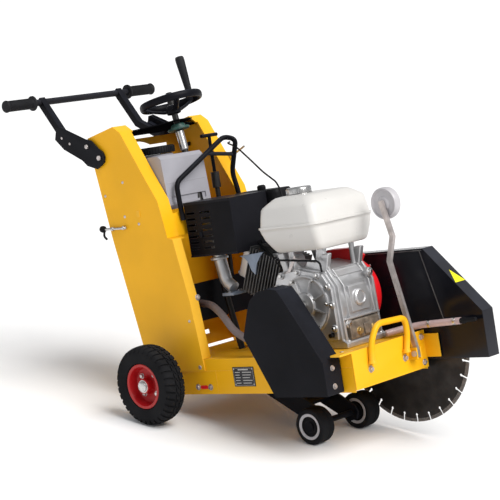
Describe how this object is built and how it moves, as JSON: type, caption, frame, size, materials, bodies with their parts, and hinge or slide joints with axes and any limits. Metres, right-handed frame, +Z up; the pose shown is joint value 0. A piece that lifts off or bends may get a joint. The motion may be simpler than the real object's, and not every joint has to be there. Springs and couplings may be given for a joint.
{
  "type": "walk-behind concrete saw",
  "caption": "Walk-behind petrol floor saw with a belt-driven diamond blade, folding handlebar, screw-raised front rollers, water tank and hinged blade guard.",
  "frame": {"origin": "on the ground, under the middle of the machine's bounding box", "axes": "+X forwards towards the blade guard, +Y to the operator's left where the blade is, +Z up; the machine stands nose-up on its wheels"},
  "size_m": [1.399, 0.6094, 0.945],
  "materials": {
    "yellow_paint": "gloss",
    "black_paint": "satin",
    "green_casting": "satin",
    "tank_plastic": "matte",
    "bright_steel": "satin",
    "cast_alloy": "cast",
    "white_paint": "gloss",
    "black_plastic": "matte",
    "red_paint": "gloss",
    "grip_rubber": "matte",
    "hose_rubber": "matte",
    "clear_hose": "satin",
    "plate_print": "satin",
    "tyre_rubber": "matte",
    "zinc_plate": "satin",
    "blade_steel": "satin",
    "nylon": "satin"
  },
  "bodies": {
    "machine": {"base_frame": "yellow_paint", "front_plate": "yellow_paint", "lift_handle": "yellow_paint", "console_side_right": "yellow_paint", "console_side_left": "yellow_paint", "rear_panel": "yellow_paint", "cross_panel": "black_paint", "top_plate": "black_paint", "screw_bearing": "green_casting", "lifting_hoop": "black_paint", "water_tank": "tank_plastic", "rear_axle": "bright_steel", "crankcase": "cast_alloy", "crankcase_cover": "cast_alloy", "cylinder": "cast_alloy", "head_cover": "cast_alloy", "fuel_tank": "white_paint", "muffler_guard": "black_paint", "muffler": "bright_steel", "air_cleaner": "black_plastic", "recoil_housing": "red_paint", "dipstick": "black_plastic", "belt_guard": "black_paint", "drive_belt": "grip_rubber", "spindle_housing": "black_paint", "water_pipe": "bright_steel", "rear_hose": "hose_rubber", "front_hose": "clear_hose", "hose_nozzle": "black_plastic", "throttle_cable": "black_plastic", "nameplate": "plate_print"},
    "wheel_right": {"rear_tyre_right": "tyre_rubber", "rear_rim_right": "red_paint"},
    "wheel_left": {"rear_tyre_left": "tyre_rubber", "rear_rim_left": "red_paint"},
    "arm": {"swing_arm": "black_paint"},
    "roller_right": {"front_wheel_right": "tyre_rubber"},
    "roller_left": {"front_wheel_left": "tyre_rubber"},
    "nut": {"lift_nut": "zinc_plate"},
    "wheel_and_screw": {"handwheel": "black_paint", "lead_screw": "bright_steel"},
    "crank_handle": {"crank_grip": "grip_rubber"},
    "handlebar": {"crossbar": "black_paint", "handle_arm_right": "black_paint", "handle_arm_left": "black_paint", "grip_right": "grip_rubber", "grip_left": "grip_rubber"},
    "spindle": {"blade_shaft": "bright_steel", "blade_pulley": "bright_steel", "blade": "blade_steel", "blade_flange": "bright_steel"},
    "crank": {"crank_pulley": "bright_steel"},
    "guard": {"blade_guard": "black_paint"},
    "pointer": {"pointer_bar": "zinc_plate"},
    "pointer_roller": {"pointer_wheel": "nylon"},
    "filler_cap": {"fuel_cap": "black_plastic"},
    "water_cap": {"water_tank_cap": "black_plastic"},
    "valve_handle": {"water_valve": "black_paint"},
    "throttle": {"throttle_lever": "bright_steel"},
    "starter_grip": {"recoil_grip": "black_plastic"}
  },
  "joints": [
    {"name": "rear_right_roll", "type": "hinge", "parent": "machine", "child": "wheel_right", "pos_m": [-0.11493, -0.2695, 0.1075], "axis": [0, 1, 0], "continuous": true},
    {"name": "rear_left_roll", "type": "hinge", "parent": "machine", "child": "wheel_left", "pos_m": [-0.11493, 0.2695, 0.1075], "axis": [0, 1, 0], "continuous": true},
    {"name": "arm_swing", "type": "hinge", "parent": "machine", "child": "arm", "pos_m": [0.069, 0, 0.13242], "axis": [0, -1, 0], "range_deg": [-2, 26]},
    {"name": "front_right_roll", "type": "hinge", "parent": "arm", "child": "roller_right", "pos_m": [0.3161, -0.0932, 0.04832], "axis": [0, 1, 0], "continuous": true},
    {"name": "front_left_roll", "type": "hinge", "parent": "arm", "child": "roller_left", "pos_m": [0.3161, 0.0932, 0.04832], "axis": [0, 1, 0], "continuous": true},
    {"name": "handwheel_turn", "type": "hinge", "parent": "machine", "child": "wheel_and_screw", "pos_m": [-0.29945, 0, 0.81746], "axis": [-0.3807, 0, 0.9247], "range_deg": [-181, 2341]},
    {"name": "crank_grip_spin", "type": "hinge", "parent": "wheel_and_screw", "child": "crank_handle", "pos_m": [-0.29945, 0.079, 0.81746], "axis": [-0.3807, 0, 0.9247], "continuous": true},
    {"name": "nut_travel", "type": "slide", "parent": "machine", "child": "nut", "axis": [0.3807, 0, -0.9247], "range_m": [-0.0032, 0.0395]},
    {"name": "handlebar_tilt", "type": "hinge", "parent": "machine", "child": "handlebar", "pos_m": [-0.40167, 0, 0.67838], "axis": [0, 1, 0], "range_deg": [0, 55]},
    {"name": "blade_spin", "type": "hinge", "parent": "machine", "child": "spindle", "pos_m": [0.42594, 0, 0.23207], "axis": [0, 1, 0], "continuous": true},
    {"name": "crank_spin", "type": "hinge", "parent": "machine", "child": "crank", "pos_m": [0.28448, 0, 0.36386], "axis": [0, 1, 0], "continuous": true},
    {"name": "guard_flip", "type": "hinge", "parent": "machine", "child": "guard", "pos_m": [0.5185, 0, 0.2769], "axis": [0, 1, 0], "range_deg": [0, 50]},
    {"name": "pointer_fold", "type": "hinge", "parent": "machine", "child": "pointer", "pos_m": [0.52427, 0.06, 0.25052], "axis": [0, 1, 0], "range_deg": [0, 100]},
    {"name": "pointer_roll", "type": "hinge", "parent": "pointer", "child": "pointer_roller", "pos_m": [0.39928, 0.0785, 0.62035], "axis": [0, 1, 0], "continuous": true},
    {"name": "fuel_cap_turn", "type": "hinge", "parent": "machine", "child": "filler_cap", "pos_m": [0.18424, -0.012, 0.62998], "axis": [-0.2139, 0, 0.9769], "range_deg": [0, 90]},
    {"name": "water_cap_turn", "type": "hinge", "parent": "machine", "child": "water_cap", "pos_m": [-0.30967, -0.048, 0.68368], "axis": [-0.2139, 0, 0.9769], "range_deg": [0, 360]},
    {"name": "water_valve_turn", "type": "hinge", "parent": "machine", "child": "valve_handle", "pos_m": [-0.24424, 0.097, 0.6934], "axis": [-0.2139, 0, 0.9769], "range_deg": [0, 90]},
    {"name": "throttle_swing", "type": "hinge", "parent": "machine", "child": "throttle", "pos_m": [-0.23599, 0.176, 0.6604], "axis": [0, 1, 0], "range_deg": [0, 60]},
    {"name": "starter_pull", "type": "slide", "parent": "machine", "child": "starter_grip", "axis": [-0.9769, 0, -0.2139], "range_m": [0, 0.18]}
  ],
  "couplings": [
    {"joint": "handwheel_turn", "follows": "arm_swing", "ratio": 90},
    {"joint": "nut_travel", "follows": "arm_swing", "m_per_rad": 0.084},
    {"joint": "crank_spin", "follows": "blade_spin", "ratio": 1.1691}
  ]
}
